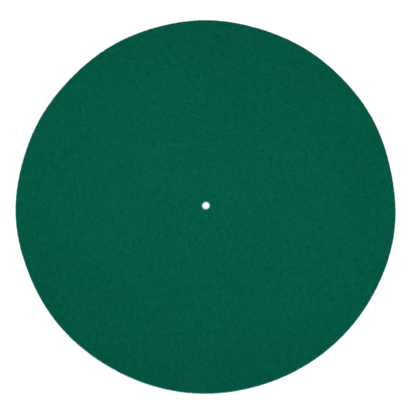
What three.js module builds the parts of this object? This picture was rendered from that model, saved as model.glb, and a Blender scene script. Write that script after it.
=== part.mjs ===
import * as THREE from 'three';

// Turntable platter mat: one disc of dense felt with a hole for the record spindle
// Millimetres, +Z up, origin on the spindle axis at the underside

// Overall sizes
const matDiameter = 300;
const feltThickness = 2;
const spindleHoleDiameter = 6.2;

// Outer edge: the die enters from above, so the top edge is drawn down and the wall leans out below
const rimRollRadius = 0.5;
const rimLean = 0.15;
const rimFootRadius = 0.15;

// Edge of the hole, punched from the same side with a finer tool
const lipRollRadius = 0.35;
const lipLean = 0.1;
const lipFootRadius = 0.12;

// Swells of the cut line about a true circle: how many go round, how high they stand
// and the bearing of the first crest in degrees, anticlockwise from +X
const cutSwells = [
  { crests: 2, height: 0.07, bearing: 37 },
  { crests: 3, height: 0.3, bearing: -34.5 },
  { crests: 4, height: 0.27, bearing: 3 },
  { crests: 5, height: 0.15, bearing: -29.5 },
  { crests: 6, height: 0.09, bearing: -16 },
  { crests: 7, height: 0.05, bearing: -15.5 },
  { crests: 8, height: 0.12, bearing: -5.5 },
  { crests: 9, height: 0.11, bearing: -13.5 },
  { crests: 11, height: 0.14, bearing: -9 },
  { crests: 12, height: 0.09, bearing: -0.5 },
];

// Felt dyed bottle green, without any shine
const feltColour = 0x055a45;
const feltRoughness = 0.95;

// Fineness of the curves
const stepsRound = 180;
const rollSteps = 4;
const footSteps = 2;

const rimRadius = matDiameter / 2;
const holeRadius = spindleHoleDiameter / 2;

// Points of a quarter round, anticlockwise from the given quarter
function quarterRound(centreX, centreY, radius, firstQuarter, steps) {
  const points = [];
  for (let step = 0; step <= steps; step++) {
    const angle = (firstQuarter + step / steps) * (Math.PI / 2);
    const x = centreX + radius * Math.cos(angle);
    const y = centreY + radius * Math.sin(angle);
    points.push(new THREE.Vector2(x, y));
  }
  return points;
}

// Closed section of the felt from hole to rim, x outwards from the axis and y up from the underside
function feltSection() {
  const rimRollCentre = rimRadius - rimLean - rimRollRadius;
  const lipRollCentre = holeRadius + lipLean + lipRollRadius;
  const section = [
    ...quarterRound(rimRadius - rimFootRadius, rimFootRadius, rimFootRadius, 3, footSteps),
    ...quarterRound(rimRollCentre, feltThickness - rimRollRadius, rimRollRadius, 0, rollSteps),
    ...quarterRound(lipRollCentre, feltThickness - lipRollRadius, lipRollRadius, 1, rollSteps),
    ...quarterRound(holeRadius + lipFootRadius, lipFootRadius, lipFootRadius, 2, footSteps),
  ];
  section.push(section[0].clone());
  return section;
}

// How far the cut line stands outside the true circle at an angle round the mat
function cutLineSwell(angle) {
  let swell = 0;
  for (const { crests, height, bearing } of cutSwells) {
    swell += height * Math.cos(crests * (angle - THREE.MathUtils.degToRad(bearing)));
  }
  return swell;
}

// Carries the turned disc out to the cut line: the rim moves by the whole swell, the hole stays round
function followCutLine(geometry) {
  const position = geometry.getAttribute('position');
  for (let index = 0; index < position.count; index++) {
    const x = position.getX(index);
    const y = position.getY(index);
    const radius = Math.hypot(x, y);
    const share = Math.max(0, (radius - holeRadius) / (rimRadius - holeRadius));
    const stretch = 1 + (share * cutLineSwell(Math.atan2(y, x))) / radius;
    position.setXY(index, x * stretch, y * stretch);
  }
  geometry.computeVertexNormals();
}

function makePlatterMat() {
  const geometry = new THREE.LatheGeometry(feltSection(), stepsRound);
  geometry.rotateX(Math.PI / 2);
  followCutLine(geometry);
  const felt = new THREE.MeshStandardMaterial({
    color: feltColour,
    roughness: feltRoughness,
    metalness: 0,
  });
  const mat = new THREE.Mesh(geometry, felt);
  mat.name = 'platter_mat';
  return mat;
}

const turntableMat = new THREE.Group();
turntableMat.add(makePlatterMat());

export default turntableMat;
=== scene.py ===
# %% [markdown]
# # A felt mat for a turntable
# The object is one disc of pressed felt, 300 mm across and 2 mm thick, with a hole punched through its
# middle for the record spindle. Felt has no threads: it is a tangle of short wool fibres pressed flat.
# A plain green cylinder would have the right outline and still look like card, so this lesson spends its
# time on what makes felt look like felt: a surface that is never quite level, an edge that the cutting
# die drew down and left hairy, fibres that lie one way on one side of the mat and another way on the
# other, and a colour that comes from light caught between the fibres and not from a shine.

# %% Load the frame
import math
from functools import reduce

import bpy
import numpy as np
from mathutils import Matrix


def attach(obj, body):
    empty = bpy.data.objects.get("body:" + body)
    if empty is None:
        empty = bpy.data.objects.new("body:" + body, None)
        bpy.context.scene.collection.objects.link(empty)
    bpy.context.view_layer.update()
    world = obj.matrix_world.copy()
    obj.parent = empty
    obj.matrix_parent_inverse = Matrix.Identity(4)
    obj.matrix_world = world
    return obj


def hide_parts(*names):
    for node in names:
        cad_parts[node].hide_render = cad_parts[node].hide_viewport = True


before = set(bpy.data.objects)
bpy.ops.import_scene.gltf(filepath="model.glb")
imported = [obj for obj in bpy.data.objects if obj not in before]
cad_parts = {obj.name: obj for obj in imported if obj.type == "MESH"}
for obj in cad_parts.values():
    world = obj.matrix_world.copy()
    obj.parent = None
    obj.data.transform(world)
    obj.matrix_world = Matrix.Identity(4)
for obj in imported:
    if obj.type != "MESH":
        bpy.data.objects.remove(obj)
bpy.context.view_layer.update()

# %% [markdown]
# ## Sizes that the solid already holds
# The solid model of the mat gives the thickness, the hole and the cut line, so none of them is written
# a second time here. The corners of the solid stand in columns round the spindle, a whole number of
# degrees apart, and the farthest corner of each column lies on the cut line. That line isn't a true
# circle: the die wandered by up to 0.9 mm, and the mat keeps that.

# %% Measure the cut line, the hole and the thickness
MM = 0.001
FULL_TURN = 2 * math.pi

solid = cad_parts["platter_mat"].data
corners = np.empty(len(solid.vertices) * 3)
solid.vertices.foreach_get("co", corners)
corners = corners.reshape(-1, 3)
corner_reach = np.hypot(corners[:, 0], corners[:, 1])
corner_degree = np.round(np.degrees(np.arctan2(corners[:, 1], corners[:, 0]))).astype(int) % 360

THICKNESS = corners[:, 2].max()
HOLE_RADIUS = corner_reach.min()
farthest = np.zeros(360)
np.maximum.at(farthest, corner_degree, corner_reach)
cut_degrees = np.flatnonzero(farthest)
cut_radii = farthest[cut_degrees]
MEAN_RADIUS = cut_radii.mean()


def cut_line(bearing):
    """Radius of the cut edge at a bearing: straight interpolation between the columns of the solid."""
    return np.interp(np.degrees(bearing), cut_degrees, cut_radii, period=360)


print(f"thickness {THICKNESS / MM:.2f} mm, hole radius {HOLE_RADIUS / MM:.2f} mm")
print(f"cut line {cut_radii.min() / MM:.2f} to {cut_radii.max() / MM:.2f} mm from the axis")

# %% [markdown]
# ## Camera
# The camera comes before the shapes, because it says how fine the detail has to be. The picture looks
# down on the mat from far away and almost straight overhead: the disc is 1.7 percent lower than it is
# wide, and the hole lies a little above the middle of the outline, which only a tilted view in
# perspective gives. A long lens at three metres does the same.

# %% Place the camera
PICTURE_WIDTH = 416
SENSOR_WIDTH = 36.0
VIEW_ELEVATION = math.radians(79.43)
VIEW_DISTANCE = 3.09
VIEW_END = 50.0
MAT_RADIUS_IN_PICTURE = 189.5
HOLE_IN_PICTURE = (205.9, 205.37)

sight = np.array([0.0, -math.cos(VIEW_ELEVATION), math.sin(VIEW_ELEVATION)])
picture_scale = MEAN_RADIUS / MAT_RADIUS_IN_PICTURE
half_picture = PICTURE_WIDTH / 2
middle_x = (half_picture - HOLE_IN_PICTURE[0]) * picture_scale
middle_y = (HOLE_IN_PICTURE[1] - half_picture) * picture_scale / math.sin(VIEW_ELEVATION)
looked_at = np.array([middle_x, middle_y, THICKNESS])

camera_data = bpy.data.cameras.new("camera")
camera_data.sensor_width = SENSOR_WIDTH
camera_data.lens = SENSOR_WIDTH * VIEW_DISTANCE / (PICTURE_WIDTH * picture_scale)
camera_data.clip_end = VIEW_END
camera = bpy.data.objects.new("camera", camera_data)
camera.location = looked_at + VIEW_DISTANCE * sight
camera.rotation_euler = (math.pi / 2 - VIEW_ELEVATION, 0.0, 0.0)
bpy.context.scene.collection.objects.link(camera)
bpy.context.scene.camera = camera
print(f"lens {camera_data.lens:.0f} mm, {picture_scale / MM:.2f} mm of felt in each picture point")

# %% [markdown]
# ## Rolling surface
# Pressed felt is never flat to the eye. Its thickness drifts over a hand's width, it dimples over a
# centimetre, and it is pebbled over a few millimetres. A noise modifier could do this, but the fibres
# that come later have to stand on the same surface, so the height has to be a function that both can
# ask. The sum of many cosine waves, each with its own direction, length and start, is such a function.

# %% Build random wave fields
rng = np.random.default_rng(78)


class WaveField:
    """A random rolling field: cosines of random direction, wavelength and start, added to unit spread."""

    def __init__(self, shortest, longest, waves):
        length = rng.uniform(shortest, longest, waves)
        bearing = rng.uniform(0.0, FULL_TURN, waves)
        self.start = rng.uniform(0.0, FULL_TURN, waves)
        self.step_x = FULL_TURN * np.cos(bearing) / length
        self.step_y = FULL_TURN * np.sin(bearing) / length

    def __call__(self, x, y):
        """The field at x, y: each wave's phase grows along its own direction."""
        phase = np.multiply.outer(x, self.step_x) + np.multiply.outer(y, self.step_y) + self.start
        return np.cos(phase).sum(axis=-1) * math.sqrt(2 / len(self.start))


drift = WaveField(shortest=45 * MM, longest=110 * MM, waves=24)
dimple = WaveField(shortest=10 * MM, longest=28 * MM, waves=40)
pebble = WaveField(shortest=3.6 * MM, longest=8 * MM, waves=60)
DRIFT_HEIGHT = 0.07 * MM
DIMPLE_HEIGHT = 0.035 * MM
PEBBLE_HEIGHT = 0.022 * MM


def surface_relief(x, y):
    """Height of the upper face over its mean level: drift, dimples and pebbles added."""
    return DRIFT_HEIGHT * drift(x, y) + DIMPLE_HEIGHT * dimple(x, y) + PEBBLE_HEIGHT * pebble(x, y)


across_mat = np.linspace(-MEAN_RADIUS, MEAN_RADIUS, 400)
print(f"relief spread along a diameter {surface_relief(across_mat, 0.0).std() / MM:.3f} mm")

# %% [markdown]
# ## The disc
# A mat like this is struck out of a sheet with a steel rule die. The blade comes from above, so it draws
# the upper edge down into a soft roll, leans the wall outwards below, and leaves the lower edge crisp.
# The hole is punched the same way. The disc is one closed section carried once round the axis: along
# the underside, up the cut wall, over the roll, back across the face and down through the hole. The
# grid has two parameters, the bearing and the place along the section, and closes on itself both ways,
# so it has no pole and no seam.

# %% Draw quarter rounds, level runs and walls
EDGE_MARGIN = 2 * MM
MARGIN_STEPS = np.array([0.15, 0.4])


def quarter_round(centre_radius, centre_height, radius, first_quarter, steps):
    """Points on a quarter circle, anticlockwise: the centre plus the radius turned by the angle."""
    angle = (first_quarter + np.linspace(0.0, 1.0, steps + 1)) * math.pi / 2
    turned = np.stack([np.cos(angle), np.sin(angle)], axis=1)
    return np.array([centre_radius, centre_height]) + radius * turned


def level_run(start, end, height, steps):
    """Points at one height from start to end, both left out, close together in a margin at each end."""
    step_in = EDGE_MARGIN if end > start else -EDGE_MARGIN
    near_start = start + step_in * MARGIN_STEPS
    near_end = end - step_in * MARGIN_STEPS[::-1]
    between = np.linspace(start + step_in, end - step_in, steps)
    radius = np.concatenate([near_start, between, near_end])
    return np.stack([radius, np.full_like(radius, height)], axis=1)


def wall_run(start, end, steps):
    """Points on the straight wall from start to end, both left out."""
    share = np.linspace(0.0, 1.0, steps + 2)[1:-1, None]
    return (1 - share) * start + share * end


# %% Draw the section of the felt
RIM_ROLL = 0.55 * MM
RIM_LEAN = 0.15 * MM
RIM_FOOT = 0.15 * MM
LIP_ROLL = 0.35 * MM
LIP_LEAN = 0.1 * MM
LIP_FOOT = 0.12 * MM
WALL_STEPS = 3
FACE_RINGS = 78
UNDER_RINGS = 12

rim_foot = quarter_round(MEAN_RADIUS - RIM_FOOT, RIM_FOOT, RIM_FOOT, first_quarter=3, steps=3)
rim_roll = quarter_round(
    MEAN_RADIUS - RIM_LEAN - RIM_ROLL, THICKNESS - RIM_ROLL, RIM_ROLL, first_quarter=0, steps=5,
)
lip_roll = quarter_round(
    HOLE_RADIUS + LIP_LEAN + LIP_ROLL, THICKNESS - LIP_ROLL, LIP_ROLL, first_quarter=1, steps=4,
)
lip_foot = quarter_round(HOLE_RADIUS + LIP_FOOT, LIP_FOOT, LIP_FOOT, first_quarter=2, steps=2)
section = np.concatenate([
    rim_foot,
    wall_run(rim_foot[-1], rim_roll[0], WALL_STEPS),
    rim_roll,
    level_run(rim_roll[-1, 0], lip_roll[0, 0], THICKNESS, FACE_RINGS),
    lip_roll,
    wall_run(lip_roll[-1], lip_foot[0], WALL_STEPS),
    lip_foot,
    level_run(lip_foot[-1, 0], rim_foot[0, 0], 0.0, UNDER_RINGS),
])
print(f"the section has {len(section)} points")

# %% [markdown]
# A die leaves a wall that looks straight from a step away and is frayed close by, because the fibres
# give way before they part. Once the punch has gone, the felt round the hole springs back a little. Both
# are worked out as the section is carried round, so no modifier has to find the edges afterwards.

# %% Carry the section round the cut line
COLUMNS = 720
FRAY_DEPTH = 0.05 * MM
LIP_FRAY_DEPTH = 0.035 * MM
LIP_SPRING = 0.12 * MM

fray = WaveField(shortest=2.8 * MM, longest=9 * MM, waves=48)
lip_fray = WaveField(shortest=1.2 * MM, longest=4 * MM, waves=24)


def disc_point(bearing, radius, height):
    """x, y, z of a section point at a bearing.

    The point moves out by the cut line's distance from the mean radius, in proportion to its own
    distance from the hole. Within the margin of the hole it moves in by the spring, and within each
    margin it moves by a wave field: at the rim over the length of the edge and its height, at the hole
    over the level place. The relief lifts it in proportion to its height.
    """
    share = np.clip((radius - HOLE_RADIUS) / (MEAN_RADIUS - HOLE_RADIUS), 0.0, 1.0)
    at_rim = np.clip((radius - MEAN_RADIUS) / EDGE_MARGIN + 1, 0.0, 1.0)
    at_lip = np.clip(1 - (radius - HOLE_RADIUS) / EDGE_MARGIN, 0.0, 1.0)
    reach = radius + share * (cut_line(bearing) - MEAN_RADIUS) - LIP_SPRING * at_lip
    reach = reach + FRAY_DEPTH * at_rim * fray(bearing * MEAN_RADIUS, height)
    reach = reach + LIP_FRAY_DEPTH * at_lip * lip_fray(reach * np.cos(bearing), reach * np.sin(bearing))
    x = reach * np.cos(bearing)
    y = reach * np.sin(bearing)
    z = height + height / THICKNESS * surface_relief(x, y)
    return np.stack([x, y, z], axis=-1)


bearings = np.arange(COLUMNS) * FULL_TURN / COLUMNS
disc_points = disc_point(bearings[:, None], section[None, :, 0], section[None, :, 1])
print(f"grid of {disc_points.shape[0]} by {disc_points.shape[1]} points")

# %% [markdown]
# ## From a grid to a mesh
# One helper turns points and faces into a piece that rides on the body of the solid. Another makes the
# faces of a grid that closes on itself both ways.

# %% Make the mesh of the disc


def closed_grid_faces(rows, columns):
    """Four-cornered faces of a grid that wraps round both ways, their corners in turning order."""
    row, place = np.meshgrid(np.arange(rows), np.arange(columns), indexing="ij")
    next_row = (row + 1) % rows
    next_place = (place + 1) % columns
    loop = [row * columns + place, next_row * columns + place,
            next_row * columns + next_place, row * columns + next_place]
    return np.stack(loop, axis=-1).reshape(-1, 4)


def new_piece(name, points, faces):
    """A smooth-shaded object at the origin, riding on the one body."""
    mesh = bpy.data.meshes.new(name)
    mesh.from_pydata(points.reshape(-1, 3).tolist(), [], faces)
    mesh.polygons.foreach_set("use_smooth", np.ones(len(mesh.polygons), dtype=bool))
    mesh.update()
    piece = bpy.data.objects.new(name, mesh)
    bpy.context.scene.collection.objects.link(piece)
    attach(piece, "root")
    print(f"{name}: {sum(len(face.vertices) - 2 for face in mesh.polygons)} triangles")
    return piece


felt_disc = new_piece("felt_disc", disc_points, closed_grid_faces(*disc_points.shape[:2]).tolist())
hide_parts("platter_mat")

# %% [markdown]
# The blade lays the felt open along the cut: its layers and the ends of its fibres show there. Close to the
# edge a paler green is painted on, most of all along the upper edge: painted light that stands for light
# coming through the thin felt from the side. A shader can't tell where a cut is, so two numbers are stored
# with each point of the mesh: how far the point is down a cut wall, and how much of that painted light it
# gets.

# %% Mark the cut walls and the painted light of the edges
CUT_DEPTH = 0.35 * MM
PAINTED_LIGHT_WIDTH = 0.65 * MM
PAINTED_LIGHT_UNDERSIDE = 0.1


def mark(name, along_section):
    """Stores a number, 0 to 1, for each point of the section, repeated round the disc."""
    values = np.tile(np.clip(along_section, 0.0, 1.0), COLUMNS)
    felt_disc.data.attributes.new(name, "FLOAT", "POINT").data.foreach_set("value", values)
    print(f"{name}: {(values > 0.5).sum()} points")


section_radius, section_height = section.T
mark("cut_wall", np.minimum(section_height, THICKNESS - section_height) / CUT_DEPTH)
inside_edge = np.minimum(MEAN_RADIUS - section_radius, section_radius - HOLE_RADIUS)
nearness = np.clip(1 - inside_edge / PAINTED_LIGHT_WIDTH, 0.0, 1.0)
# Painted light: a paler green near the cut line and the hole, strongest on the upper edge and faint on the
# underside.
mark("painted_edge_light", nearness**2 * (2 * section_height / THICKNESS + PAINTED_LIGHT_UNDERSIDE))

# %% [markdown]
# ## Loose fibres
# What gives felt away from the side is its fuzz: wool fibres a thirtieth of a millimetre thick, whose
# ends stand out of the cut wall, hang into the hole and lie in loops on the face. A hair system would
# not survive the export, so each fibre is a small mesh of its own: a three-sided tube that tapers to a
# point, bent along a curve. Thousands of them are worked out at once as one array, with one axis for
# the fibre, one for the place along it and one for the corner of its section.

# %% Bend a set of tubes
TUBE_SIDES = 3
TUBE_TAPER = 0.5
BEND_SPREAD = 0.5
SWING_SPREAD = 0.45
ASLANT = np.array([0.13, 0.27, 0.95])


def fibre_tubes(roots, aims, sides, lengths, rises, radius, rings):
    """Points of many tapering tubes, indexed by fibre, ring and corner, with the tips apart.

    Along a fibre the share t runs from 0 to 1. Its centre is the root, plus the length times a way:
    the aim times t, plus the side times a bend that grows with t squared and a swing that goes with
    t cubed less t squared. The rise times 4 t (1 - t) lifts it in an arch. Round the centre the corners
    lie across the tangent, set out from a slanting direction that hardly any fibre takes, and their
    distance shrinks by the taper on the way to the tip.
    """
    t = np.linspace(0.0, 1.0, rings + 1)
    bend = rng.normal(0.0, BEND_SPREAD, (len(roots), 1, 1)) * (t**2)[:, None]
    swing = rng.normal(0.0, SWING_SPREAD, (len(roots), 1, 1)) * (t**3 - t**2)[:, None]
    along = lengths[:, None, None] * (aims[:, None, :] * t[:, None] + sides[:, None, :] * (bend + swing))
    centres = roots[:, None, :] + along
    centres[..., 2] += rises[:, None] * 4 * t * (1 - t)
    centres[..., 2] = np.maximum(centres[..., 2], radius)
    tangent = np.gradient(centres, axis=1)
    tangent /= np.linalg.norm(tangent, axis=-1, keepdims=True)
    across = np.cross(tangent, ASLANT)
    across /= np.linalg.norm(across, axis=-1, keepdims=True)
    above = np.cross(tangent, across)
    corner = np.arange(TUBE_SIDES) * FULL_TURN / TUBE_SIDES
    beside = across[:, :, None, :] * np.cos(corner)[:, None]
    upwards = above[:, :, None, :] * np.sin(corner)[:, None]
    taper = radius * (1 - TUBE_TAPER * t)[:, None, None]
    tubes = centres[:, :, None, :] + taper * (beside + upwards)
    return tubes[:, :-1], centres[:, -1]


# %% Join the tubes into a piece


def fibre_faces(count, rings):
    """Faces of the tubes: four-cornered along the sides, a fan at the tip and a cap at the root."""
    first = np.arange(count)[:, None] * rings * TUBE_SIDES
    ring, corner = np.meshgrid(np.arange(rings - 1), np.arange(TUBE_SIDES), indexing="ij")
    beside = (corner + 1) % TUBE_SIDES
    low = (ring * TUBE_SIDES + corner).ravel()
    low_beside = (ring * TUBE_SIDES + beside).ravel()
    side = np.stack([low, low_beside, low_beside + TUBE_SIDES, low + TUBE_SIDES], axis=-1)
    walls = (first[:, :, None] + side).reshape(-1, 4)
    corners_round = np.arange(TUBE_SIDES)
    last = first + (rings - 1) * TUBE_SIDES
    tip = count * rings * TUBE_SIDES + np.arange(count)[:, None]
    fans = [(last + corners_round), (last + (corners_round + 1) % TUBE_SIDES),
            np.repeat(tip, TUBE_SIDES, axis=1)]
    caps = first + corners_round[::-1]
    return walls.tolist() + np.stack(fans, axis=-1).reshape(-1, 3).tolist() + caps.tolist()


def fibre_piece(name, *tube_words, rings):
    """One piece holding a whole set of fibres."""
    tubes, tips = fibre_tubes(*tube_words, rings)
    points = np.concatenate([tubes.reshape(-1, 3), tips])
    return new_piece(name, points, fibre_faces(len(tips), rings))


# %% [markdown]
# The fibres of the rim are rooted a little inside the cut wall and point outwards, each turned some way
# along the edge and some way up or down. Most are under a millimetre long. Their lengths come from a
# log-normal spread, which gives many short ends and a few long ones, as wool has.

# %% Aim and measure fibres
FIBRE_RADIUS = 0.016 * MM
ROOT_DEPTH = 0.12 * MM
LENGTH_SPREAD = 0.5


def unit(bearing):
    """Level unit vectors at the given bearings."""
    return np.stack([np.cos(bearing), np.sin(bearing), np.zeros_like(bearing)], axis=-1)


def lifted(vectors, climb):
    """Level vectors tilted by a climb, brought back to unit length."""
    tilted = vectors + climb[:, None] * np.array([0.0, 0.0, 1.0])
    return tilted / np.linalg.norm(tilted, axis=1, keepdims=True)


def spread_lengths(count, middle, longest):
    """Log-normal lengths about a middle one, none over the longest."""
    return np.minimum(middle * np.exp(rng.normal(0.0, LENGTH_SPREAD, count)), longest)


# %% Grow the fibres of the rim
RIM_FIBRES = 6400
RIM_FIBRE_RINGS = 5
RIM_FIBRE_LENGTH = 0.45 * MM
RIM_FIBRE_LONGEST = 1.6 * MM
RIM_ROOT_SHARES = (0.12, 0.94)
RIM_ROLL_SHARE = 0.7
RIM_TURN_SPREAD = 0.7
RIM_CLIMB = 0.1
RIM_CLIMB_SPREAD = 0.45

rim_bearing = rng.uniform(0.0, FULL_TURN, RIM_FIBRES)
rim_share = rng.uniform(*RIM_ROOT_SHARES, RIM_FIBRES)
rim_inset = RIM_LEAN * rim_share + RIM_ROLL * np.clip(rim_share - RIM_ROLL_SHARE, 0.0, 1.0)
rim_roots = disc_point(rim_bearing, MEAN_RADIUS - rim_inset - ROOT_DEPTH, rim_share * THICKNESS)
rim_turn = rim_bearing + rng.normal(0.0, RIM_TURN_SPREAD, RIM_FIBRES)
rim_aims = lifted(unit(rim_turn), rng.normal(RIM_CLIMB, RIM_CLIMB_SPREAD, RIM_FIBRES))
rim_fibres = fibre_piece(
    "rim_fibres", rim_roots, rim_aims, unit(rim_turn + math.pi / 2),
    spread_lengths(RIM_FIBRES, RIM_FIBRE_LENGTH, RIM_FIBRE_LONGEST),
    np.zeros(RIM_FIBRES), FIBRE_RADIUS, rings=RIM_FIBRE_RINGS,
)

# %% [markdown]
# The punch leaves the same fuzz round the hole. It is shorter, because a punch cuts more cleanly than a
# long blade, and it stands closer together, because the small hole crowds the ends that reach into it.

# %% Grow the fibres of the hole
LIP_FIBRES = 320
LIP_FIBRE_LENGTH = 0.3 * MM
LIP_FIBRE_LONGEST = 0.8 * MM
LIP_ROOT_SHARES = (0.15, 0.9)
LIP_TURN_SPREAD = 0.8
LIP_CLIMB_SPREAD = 0.4

lip_bearing = rng.uniform(0.0, FULL_TURN, LIP_FIBRES)
lip_height = rng.uniform(*LIP_ROOT_SHARES, LIP_FIBRES) * THICKNESS
lip_roots = disc_point(lip_bearing, HOLE_RADIUS + LIP_LEAN + ROOT_DEPTH, lip_height)
lip_turn = lip_bearing + math.pi + rng.normal(0.0, LIP_TURN_SPREAD, LIP_FIBRES)
lip_aims = lifted(unit(lip_turn), rng.normal(0.0, LIP_CLIMB_SPREAD, LIP_FIBRES))
lip_fibres = fibre_piece(
    "lip_fibres", lip_roots, lip_aims, unit(lip_turn + math.pi / 2),
    spread_lengths(LIP_FIBRES, LIP_FIBRE_LENGTH, LIP_FIBRE_LONGEST),
    np.zeros(LIP_FIBRES), FIBRE_RADIUS, rings=RIM_FIBRE_RINGS,
)

# %% [markdown]
# ## The lie of the nap
# In the picture the fibres don't lie at random. They lean one way on the left of the mat, upright below,
# the other way on the right and level across the top. Round one calm spot the direction turns by half
# a turn, as ridges do in a fingerprint. That is a short formula: the lie at a place is a first bearing
# less half the bearing of that place from the calm spot. The loose fibres and the pattern both use it.

# %% Say which way the nap lies
CALM_SPOT = (15 * MM, 38 * MM)
LIE_TO_THE_RIGHT = math.radians(32.0)


def nap_bearing(x, y):
    """Bearing of the nap at x, y: the lie right of the calm spot less half the bearing round the spot."""
    return LIE_TO_THE_RIGHT - np.arctan2(y - CALM_SPOT[1], x - CALM_SPOT[0]) / 2


print(f"lie at the left {math.degrees(nap_bearing(-MEAN_RADIUS, CALM_SPOT[1])):.0f} degrees")
print(f"lie at the bottom {math.degrees(nap_bearing(CALM_SPOT[0], -MEAN_RADIUS)):.0f} degrees")

# %% [markdown]
# The face carries three sets of fibres: a short nap that strays far from the lie, a longer one that keeps
# to it better, and a few stray hairs that lie anyhow, as they do on any mat that has been handled.

# %% Grow the fibres of the face
FACE_INNER = HOLE_RADIUS + 0.8 * MM
FACE_OUTER = MEAN_RADIUS - RIM_ROLL - 0.8 * MM
FACE_ROOT_DEPTH = 0.03 * MM
FACE_ARCH = 0.13 * MM
FACE_ARCH_SHARES = (0.3, 1.6)
FACE_CLIMB = 0.02
FACE_CLIMB_SPREAD = 0.03


def face_fibre_piece(name, count, rings, middle, longest, radius, straying):
    """Fibres lying on the face, evenly sown over the disc, their bearings spread about that of the nap.

    Even sowing takes the root of a random squared radius, since the area of a ring grows with its
    radius. About half of the fibres, at random, point backwards along the lie.
    """
    bearing = rng.uniform(0.0, FULL_TURN, count)
    reach = np.sqrt(rng.uniform(FACE_INNER**2, FACE_OUTER**2, count))
    roots = disc_point(bearing, reach, THICKNESS)
    lie = nap_bearing(roots[:, 0], roots[:, 1])
    lie = lie + rng.normal(0.0, straying, count) + math.pi * rng.integers(0, 2, count)
    roots[:, 2] -= FACE_ROOT_DEPTH
    aims = lifted(unit(lie), rng.normal(FACE_CLIMB, FACE_CLIMB_SPREAD, count))
    arches = FACE_ARCH * rng.uniform(*FACE_ARCH_SHARES, count)
    lengths = spread_lengths(count, middle, longest)
    return fibre_piece(name, roots, aims, unit(lie + math.pi / 2), lengths, arches, radius, rings=rings)


short_nap = face_fibre_piece(
    "short_nap", count=6800, rings=5, middle=1.3 * MM, longest=3.5 * MM, radius=0.018 * MM, straying=1.1,
)
long_nap = face_fibre_piece(
    "long_nap", count=4800, rings=7, middle=2.6 * MM, longest=8 * MM, radius=0.016 * MM, straying=0.8,
)
stray_hairs = face_fibre_piece(
    "stray_hairs", count=60, rings=14, middle=8 * MM, longest=15 * MM, radius=0.022 * MM, straying=1.6,
)

# %% [markdown]
# ## A sheet of cloth
# The mat was cut flat from a sheet, and it lies as it was cut.

# %% [markdown]
# ## Shader maths as expressions
# A felt shader is a long sum of patterns. Wired by hand it is a wall of boxes, so one small class wraps
# a socket and lets Python's own signs add the Math nodes: writing 1 - mask adds a Subtract node.

# %% Wrap a socket


class Wire:
    """One output of a shader node. A sign between wires or numbers adds the Math node that works it out."""

    def __init__(self, tree, socket=None):
        self.tree = tree
        self.socket = socket

    def node(self, kind, settings=(), sockets=(), output=0):
        """Adds a node of a kind: first its settings, then a value or a wire for each socket."""
        made = self.tree.nodes.new(kind)
        for name, value in dict(settings).items():
            setattr(made, name, value)
        for name, value in dict(sockets).items():
            if isinstance(value, Wire):
                self.tree.links.new(value.socket, made.inputs[name])
            else:
                made.inputs[name].default_value = value
        return Wire(self.tree, made.outputs[output])

    def into(self, shader, socket_name):
        """Links this wire to a socket of a shader."""
        self.tree.links.new(self.socket, shader.inputs[socket_name])

    def math(self, operation, *values):
        """A Math node on the given values."""
        return self.node("ShaderNodeMath", {"operation": operation}, dict(enumerate(values)))

    def vector(self, operation, *values, output=0):
        """A Vector Math node on the given values."""
        settings = {"operation": operation}
        return self.node("ShaderNodeVectorMath", settings, dict(enumerate(values)), output)

    def mix(self, low, high):
        """The colour from low to high as this wire goes from 0 to 1, by a Mix node's colour sockets."""
        return self.node("ShaderNodeMix", {"data_type": "RGBA"}, {0: self, 6: low, 7: high}, output=2)

    def __add__(self, other):
        return self.math("ADD", self, other)

    def __radd__(self, other):
        return self.math("ADD", other, self)

    def __sub__(self, other):
        return self.math("SUBTRACT", self, other)

    def __rsub__(self, other):
        return self.math("SUBTRACT", other, self)

    def __mul__(self, other):
        return self.math("MULTIPLY", self, other)

    def __rmul__(self, other):
        return self.math("MULTIPLY", other, self)

    def __pow__(self, power):
        return self.math("POWER", self, power)

    def __abs__(self):
        return self.math("ABSOLUTE", self)

    def at_least(self, floor):
        """The larger of this wire and another value."""
        return self.math("MAXIMUM", self, floor)

    def at_most(self, ceiling):
        """The smaller of this wire and another value."""
        return self.math("MINIMUM", self, ceiling)

    def clipped(self):
        """This wire held between 0 and 1."""
        return self.at_least(0.0).at_most(1.0)


# %% [markdown]
# ## Patterns of fibres
# All patterns read Object coordinates, in metres, so they keep their scale and stay in place when the
# mat is moved. A bundle of fibres lying one way is noise that is drawn out along that bearing and
# squeezed across it. Where such noise passes its middle value runs a thin winding line, and keeping
# only those lines gives single fibres. Each pattern has a seed, which moves its reading place well away
# from that of the others, so that no two patterns show the same noise.

# %% Write clouds, bundles and threads
MIDDLE = 0.5
BUNDLE_ROUGHNESS = 0.62


def cloud(vector, detail, roughness=0.5, output=0):
    """Noise between 0 and 1 about its middle value, with lumps one unit wide in the given vector."""
    sockets = {"Vector": vector, "Scale": 1.0, "Detail": detail, "Roughness": roughness}
    return vector.node("ShaderNodeTexNoise", {}, sockets, output)


def noise(place, size, detail, seed, roughness=0.5):
    """A cloud with lumps of the given size in metres."""
    shifted = place.vector("MULTIPLY_ADD", place, (1 / size,) * 3, (seed, 2.3 * seed, 5.1 * seed))
    return cloud(shifted, detail, roughness)


def turned_back(place, bearing):
    """The place turned so that what lay along the bearing lies along x."""
    return place.node("ShaderNodeVectorRotate", {"rotation_type": "Z_AXIS"},
                      {"Vector": place, "Angle": -bearing})


def bundle(place, bearing, length, width, detail, seed):
    """A cloud drawn out to a length along a bearing and squeezed to a width across it."""
    turned = turned_back(place, bearing)
    stretch = (1 / length, 1 / width, 1 / width)
    drawn = turned.vector("MULTIPLY_ADD", turned, stretch, (seed, 3.7 * seed, 0.0))
    return cloud(drawn, detail, BUNDLE_ROUGHNESS)


def threads(cloudy, thinness):
    """Thin bright lines where a cloud passes its middle value: one less its distance times thinness."""
    return (1 - abs(cloudy - MIDDLE) * thinness).at_least(0.0)


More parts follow.
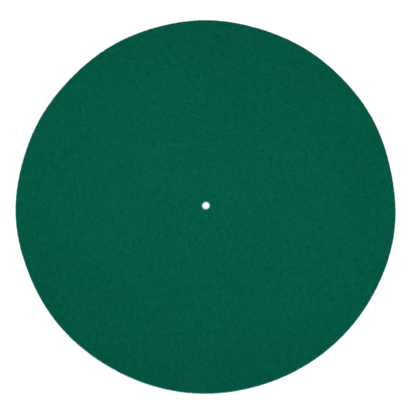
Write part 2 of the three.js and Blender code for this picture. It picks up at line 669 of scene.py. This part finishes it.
# %% [markdown]
# Fibres of wool are never straight, so the bundles read a place that soft noise has moved about. Four
# bundles at four bearings, each strongest on the side of the mat where the nap lies its way, make the
# tangle. The strength of a bundle needs no angle: it is the part of the way from the calm spot that
# points to the bundle's own side.

# %% Wind the fibres and follow the nap
WARP_SIZE = 5 * MM
WARP_REACH = 0.9 * MM
CALM_RADIUS = 45 * MM


def warped(place):
    """The place moved by up to the warp's reach each way, as soft noise says."""
    shift = cloud(place.vector("MULTIPLY", place, (1 / WARP_SIZE,) * 3), detail=1.0, output="Color")
    centred = place.vector("SUBTRACT", shift, (MIDDLE,) * 3)
    return place.vector("MULTIPLY_ADD", centred, (2 * WARP_REACH,) * 3, place)


def nap_strength(place, bearing):
    """Strength, 0 to 1, of the bundle lying at a bearing: largest where the nap lies that way.

    It is a half plus half the cosine between the way from the calm spot and the bundle's side, and it
    fades to a half inside the calm radius.
    """
    away = place.vector("SUBTRACT", place, (*CALM_SPOT, 0.0))
    distance = place.vector("LENGTH", away, output=1)
    side = 2 * (LIE_TO_THE_RIGHT - bearing)
    towards = place.vector("DOT_PRODUCT", away, (math.cos(side), math.sin(side), 0.0), output=1)
    return 0.5 + towards.math("DIVIDE", towards, distance.at_least(CALM_RADIUS)) * 0.5


# %% [markdown]
# ## Felt
# Dyed wool takes its colour from light that goes into the tangle and comes out again, so the tips are
# lighter than the gaps between them. One tone mixes the green of the gaps with that of the tips, and
# the tips themselves lean to a warmer or a cooler green, because no two handfuls of wool take the dye
# alike. There is hardly any gloss, only a soft veil at grazing angles, where the fuzz catches light.

# %% Choose the greens


def srgb(red, green, blue):
    """A colour written in the 0 to 255 levels of a screen, as linear light with full alpha."""
    level = np.array([red, green, blue]) / 255
    linear = np.where(level <= 0.04045, level / 12.92, ((level + 0.055) / 1.055) ** 2.4)
    return (*linear.tolist(), 1.0)


GAP_GREEN = srgb(0, 52, 43)
TIP_WARM = srgb(16, 128, 96)
TIP_COOL = srgb(6, 128, 99)
FIBRE_GREEN = srgb(16, 134, 104)
# The next green is painted light: the paler green of the thin edges.
PAINTED_LIGHT_GREEN = srgb(30, 180, 160)
# The next two greens are painted light: paler greens for light coming through loose fibres.
PAINTED_BACKLIT_DARK = srgb(24, 164, 142)
PAINTED_BACKLIT_LIGHT = srgb(70, 212, 194)
SHEEN_GREEN = srgb(12, 130, 105)
print("linear greens of gaps and tips:", np.round(GAP_GREEN, 4), np.round(TIP_COOL, 4))

# %% Start the felt
WOOL_GLOSS = 0.01
WOOL_SHEEN_ROUGHNESS = 0.6


def new_material(name):
    """An empty material with its Principled shader: the wire to build on and the shader itself."""
    material = bpy.data.materials.new(name)
    material.use_nodes = True
    shader = material.node_tree.nodes["Principled BSDF"]
    return material, Wire(material.node_tree), shader


def object_place(start):
    """The place on the piece in Object coordinates."""
    return start.node("ShaderNodeTexCoord", output="Object")


def finish_as_wool(shader, sheen):
    """Constants that all the wool shares: nearly no gloss, and a soft green veil at grazing angles."""
    shader.inputs["Specular IOR Level"].default_value = WOOL_GLOSS
    shader.inputs["Sheen Weight"].default_value = sheen
    shader.inputs["Sheen Roughness"].default_value = WOOL_SHEEN_ROUGHNESS
    shader.inputs["Sheen Tint"].default_value = SHEEN_GREEN


felt, start, felt_shader = new_material("pressed_felt")
place = object_place(start)
finish_as_wool(felt_shader, sheen=0.25)
print(f"{felt.name} started")

# %% [markdown]
# Where two single fibres cross, the lighter one lies on top, so the fibres of the four bundles join by
# the larger value. Under them the nap lies in broader streaks, which are soft and simply add up.

# %% Lay the fibres and the streaks
BUNDLE_TURNS = (0.0, 45.0, 90.0, 135.0)
FIBRE_THINNESS = 24.0

winding = warped(place)
single_fibres = []
nap_streaks = []
for order, turn in enumerate(BUNDLE_TURNS):
    lie = LIE_TO_THE_RIGHT + math.radians(turn)
    strength = nap_strength(place, lie)
    hairs = bundle(winding, lie, length=2.6 * MM, width=0.26 * MM, detail=1.0, seed=3.0 + order)
    broad = bundle(winding, lie, length=6 * MM, width=1 * MM, detail=2.0, seed=11.0 + order)
    single_fibres.append(threads(hairs, FIBRE_THINNESS) * (0.5 + 0.5 * strength))
    nap_streaks.append((broad - MIDDLE) * strength)
fine = reduce(Wire.at_least, single_fibres)
streak = reduce(Wire.__add__, nap_streaks)
print(f"{len(single_fibres)} bundles, {len(felt.node_tree.nodes)} nodes so far")

# %% [markdown]
# Wool goes into felt in tufts, so the tone also clumps over a few millimetres, and over a few centimetres
# it is patchy where the wool was laid thicker. It is a base level plus a share of each pattern.

# %% Add up the tone of the face
BASE_TONE = 0.289
FIBRE_TONE = 0.26
STREAK_TONE = 0.45
CLUMP_TONE = 0.34
PATCH_TONE = 0.105
DYE_CONTRAST = 2.0


def contrasted(cloudy, contrast):
    """A cloud's distance from its middle value times a contrast, held between 0 and 1."""
    return ((cloudy - MIDDLE) * contrast + MIDDLE).clipped()


clump = noise(place, size=2.4 * MM, detail=3.0, seed=21.0, roughness=0.65) - MIDDLE
patch = noise(place, size=34 * MM, detail=3.0, seed=33.0) - MIDDLE
face_tone = BASE_TONE + FIBRE_TONE * fine + STREAK_TONE * streak + CLUMP_TONE * clump + PATCH_TONE * patch
dye = contrasted(noise(place, size=7 * MM, detail=1.0, seed=47.0), DYE_CONTRAST)
tip_green = dye.mix(TIP_COOL, TIP_WARM)
print(f"tone of the face added up, {len(felt.node_tree.nodes)} nodes so far")

# %% [markdown]
# On the cut walls the tone follows the layers and the fibre ends instead. The layers are noise pressed
# flat, long across the wall and a fifth of a millimetre high. Near the edges a paler green is mixed in as
# painted light. It is broken up by the speckle of the fibres, so it isn't a smooth line.

# %% Add the cut walls and the painted light of the edges
LAYER_LENGTH = 1.6 * MM
LAYER_HEIGHT = 0.2 * MM
CUT_TONE = 0.24
LAYER_TONE = 0.9
PAINTED_LIGHT_LEVEL = 0.6
PAINTED_LIGHT_SPECKLE = 0.8


def stored(start, name):
    """A number that was stored with the points of the mesh."""
    return start.node("ShaderNodeAttribute", {"attribute_name": name}, output="Fac")


pressed = place.vector("MULTIPLY", place, (1 / LAYER_LENGTH, 1 / LAYER_LENGTH, 1 / LAYER_HEIGHT))
layers = cloud(pressed, detail=1.0) - MIDDLE
ends = noise(place, size=0.16 * MM, detail=1.0, seed=59.0) - MIDDLE
cut_tone = CUT_TONE + LAYER_TONE * layers + ends
cut = stored(start, "cut_wall")
tone = (face_tone + cut * (cut_tone - face_tone)).clipped()
# Painted light: the paler green of the edges, standing for light coming through the thin felt.
painted_light_share = (stored(start, "painted_edge_light") * (PAINTED_LIGHT_LEVEL + PAINTED_LIGHT_SPECKLE * (fine + clump) + ends)).clipped()
green = painted_light_share.mix(tone.mix(GAP_GREEN, tip_green), PAINTED_LIGHT_GREEN)
green.into(felt_shader, "Base Color")
print(f"cut walls and pale edges added, {len(felt.node_tree.nodes)} nodes so far")

# %% [markdown]
# The same patterns lift the surface through a Bump node, so that each fibre catches light on one flank.
# A fibre that stands up is also a little smoother than the tangle below it.

# %% Lift the surface of the felt
FELT_ROUGHNESS = 0.98
FIBRE_SMOOTHING = 0.14
FIBRE_RELIEF = 0.45
SOFT_RELIEF = 0.6
BUMP_STRENGTH = 0.7
BUMP_HEIGHT = 0.22 * MM

(FELT_ROUGHNESS - FIBRE_SMOOTHING * fine).into(felt_shader, "Roughness")
relief = FIBRE_RELIEF * fine + SOFT_RELIEF * (streak + clump + cut * (layers + ends))
normal = start.node("ShaderNodeBump", {}, {
    "Strength": BUMP_STRENGTH, "Distance": BUMP_HEIGHT, "Height": relief})
normal.into(felt_shader, "Normal")
felt_disc.data.materials.append(felt)
print(f"felt shader of {len(felt.node_tree.nodes)} nodes")

# %% [markdown]
# A loose fibre is the same wool seen singly. Light passes it on all sides, so it is lighter than the tangle
# below. Slow noise over the mat changes the green from one fibre to the next and along the longer ones. The
# fibres of the rim and the hole and the stray hairs get a paler green still: painted light that stands for
# light coming through them.

# %% Mix the wool of the loose fibres
WOOL_CONTRAST = 1.6
WOOL_ROUGHNESS = 0.75
WOOL_ROUGHNESS_GAIN = 0.2


def mix_wool(name, dark, light, pieces):
    """Wool of single fibres between two greens, given to the pieces: slow noise picks the green."""
    wool, start, wool_shader = new_material(name)
    green_share = contrasted(
        noise(object_place(start), size=1.3 * MM, detail=1.0, seed=41.0), WOOL_CONTRAST,
    )
    green_share.mix(dark, light).into(wool_shader, "Base Color")
    (WOOL_ROUGHNESS + WOOL_ROUGHNESS_GAIN * green_share).into(wool_shader, "Roughness")
    finish_as_wool(wool_shader, sheen=0.2)
    for fibres in pieces:
        fibres.data.materials.append(wool)
    print(f"{name} on {len(pieces)} pieces")


mix_wool("face_wool", TIP_COOL, FIBRE_GREEN, [short_nap, long_nap])
# Painted light: the rim fibres, lip fibres and stray hairs take a paler green for light coming through
# them.
mix_wool("painted_backlit_wool", PAINTED_BACKLIT_DARK, PAINTED_BACKLIT_LIGHT, [rim_fibres, lip_fibres, stray_hairs])

# %% [markdown]
# ## Ground and light
# In the picture the mat is brightest in the middle, and it darkens twice as fast from front to back as
# from side to side. A long flat lamp close above it, turned a little, gives just that: the light falls
# off slowly along the lamp and quickly across it. A broad, soft sun from the viewer's side rakes over
# the nap, so that each fibre and dimple has a light flank and a dark one. The rest is a white sky. Each
# of the three has a share of the light on the middle of the mat.

# %% Share out the light
LAMP_SHARE = 0.62
SKY_SHARE = 0.23
KEY_SHARE = 0.20
LAMP_PLACE = (0.005, 0.007, 0.34)
LAMP_LENGTH = 0.5
LAMP_WIDTH = 0.1
LAMP_TURN = math.radians(-17.6)
KEY_ELEVATION = math.radians(50)
KEY_SPREAD = math.radians(24)


def strength_below(steps=40):
    """Pi times the light that each watt of the lamp gives the middle of the mat.

    It is the mean over the lamp of its height squared over the fourth power of the distance.
    """
    along, across = np.meshgrid(np.linspace(-0.5, 0.5, steps) * LAMP_LENGTH,
                                np.linspace(-0.5, 0.5, steps) * LAMP_WIDTH)
    return (LAMP_PLACE[2]**2 / (along**2 + across**2 + LAMP_PLACE[2]**2) ** 2).mean()


print(f"light on the middle of the mat: {LAMP_SHARE + SKY_SHARE + KEY_SHARE:.2f}")

# %% Hang the lamp and the sun
lamp_data = bpy.data.lights.new("overhead_lamp", "AREA")
lamp_data.shape = "RECTANGLE"
lamp_data.size = LAMP_LENGTH
lamp_data.size_y = LAMP_WIDTH
lamp_data.energy = LAMP_SHARE * math.pi**2 / strength_below()
lamp = bpy.data.objects.new("overhead_lamp", lamp_data)
lamp.location = LAMP_PLACE
lamp.rotation_euler = (0.0, 0.0, LAMP_TURN)
lamp.visible_camera = False
bpy.context.scene.collection.objects.link(lamp)

key_data = bpy.data.lights.new("key_light", "SUN")
key_data.angle = KEY_SPREAD
key_data.energy = KEY_SHARE * math.pi / math.sin(KEY_ELEVATION)
key = bpy.data.objects.new("key_light", key_data)
key.rotation_euler = (math.pi / 2 - KEY_ELEVATION, 0.0, 0.0)
bpy.context.scene.collection.objects.link(key)
print(f"lamp of {lamp_data.energy:.2f} W, sun of {key_data.energy:.2f} W per square metre")

# %% [markdown]
# The ground is matt white and pictured as good as burnt out. The lamp alone would leave it grey farther
# out, so it shows some white of its own, rising by the part that the lamp loses. Only rays that picture
# the ground see that white: those of the camera, and those off gloss or through glass. It lights
# nothing, and the mat's shadow stays in the rest. Below the hole there is none of it, so that the small
# bright spot keeps its shading.

# %% Lay the ground
GROUND_HALF = 6.0
GROUND_WHITE = 0.93

ground_mesh = bpy.data.meshes.new("ground")
ground_corners = [(-GROUND_HALF, -GROUND_HALF, 0), (GROUND_HALF, -GROUND_HALF, 0),
                  (GROUND_HALF, GROUND_HALF, 0), (-GROUND_HALF, GROUND_HALF, 0)]
ground_mesh.from_pydata(ground_corners, [], [(0, 1, 2, 3)])
ground = bpy.data.objects.new("ground", ground_mesh)
bpy.context.scene.collection.objects.link(ground)

matt_white, start, ground_shader = new_material("matt_white")
ground_shader.inputs["Base Color"].default_value = (GROUND_WHITE,) * 3 + (1.0,)
ground_shader.inputs["Roughness"].default_value = 1.0
ground_shader.inputs["Specular IOR Level"].default_value = 0.0
ground_mesh.materials.append(matt_white)
print(f"ground {2 * GROUND_HALF:.0f} m across")

# %% [markdown]
# The part that the lamp still gives at a place has a short formula. The place is measured from the
# middle in lengths of two reaches, one along the lamp and one across it, and the part is one plus that
# distance squared, to the power of minus two.

# %% Give the ground a white of its own
GROUND_SHOWN = 1.28
LAMP_REACH_ALONG = 0.55
LAMP_REACH_ACROSS = 0.36
PICTURING_RAYS = ("Is Camera Ray", "Is Glossy Ray", "Is Transmission Ray")


def pictured(start):
    """1 for rays that show what they meet as a picture, and 0 for those that only gather light."""
    camera_ray, glossy_ray, glass_ray = (
        start.node("ShaderNodeLightPath", output=ray) for ray in PICTURING_RAYS
    )
    return camera_ray.at_least(glossy_ray).at_least(glass_ray)


place = object_place(start)
turned = turned_back(place, LAMP_TURN)
in_reaches = turned.vector("MULTIPLY", turned, (1 / LAMP_REACH_ALONG, 1 / LAMP_REACH_ACROSS, 0.0))
beside_lamp = turned.vector("LENGTH", in_reaches, output=1)
lamp_part = LAMP_SHARE * (1 + beside_lamp**2.0) ** -2.0
own_white = (GROUND_SHOWN - GROUND_WHITE * (lamp_part + SKY_SHARE + KEY_SHARE)).at_least(0.0)
from_hole = place.vector("LENGTH", place, output=1) * (1 / MEAN_RADIUS)
shown_white = own_white * from_hole.at_most(1.0) * pictured(start)
shown_white.into(ground_shader, "Emission Color")
ground_shader.inputs["Emission Strength"].default_value = 1.0
least_white = GROUND_SHOWN - GROUND_WHITE * (LAMP_SHARE + SKY_SHARE + KEY_SHARE)
print(f"round the mat the ground's own white is over {least_white:.2f}")

# %% [markdown]
# Around the lamp the world is a white sky, as a light tent would be: brighter overhead than at the
# horizon, and brighter on the viewer's side, which leaves the near wall of the hole in shade. Pictured,
# it is plain white; everything else gets only its share of the light. Four tenths all round and nine
# tenths times the height of the way together give level ground just that share.

# %% Light the world
SKY_ALL_ROUND = 0.4
SKY_LEAN = (0.0, -0.3, 0.9)

world = bpy.data.worlds.new("light_tent")
world.use_nodes = True
bpy.context.scene.world = world
start = Wire(world.node_tree)
sky = world.node_tree.nodes["Background"]
way = start.node("ShaderNodeTexCoord")
leaning = way.vector("DOT_PRODUCT", way, SKY_LEAN, output=1)
tent = SKY_SHARE * (SKY_ALL_ROUND + leaning).at_least(0.0)
(tent + (1 - tent) * pictured(start)).into(sky, "Strength")
sky.inputs["Color"].default_value = (1.0, 1.0, 1.0, 1.0)
bpy.context.scene.view_settings.view_transform = "Standard"
print(f"sky shader of {len(world.node_tree.nodes)} nodes")
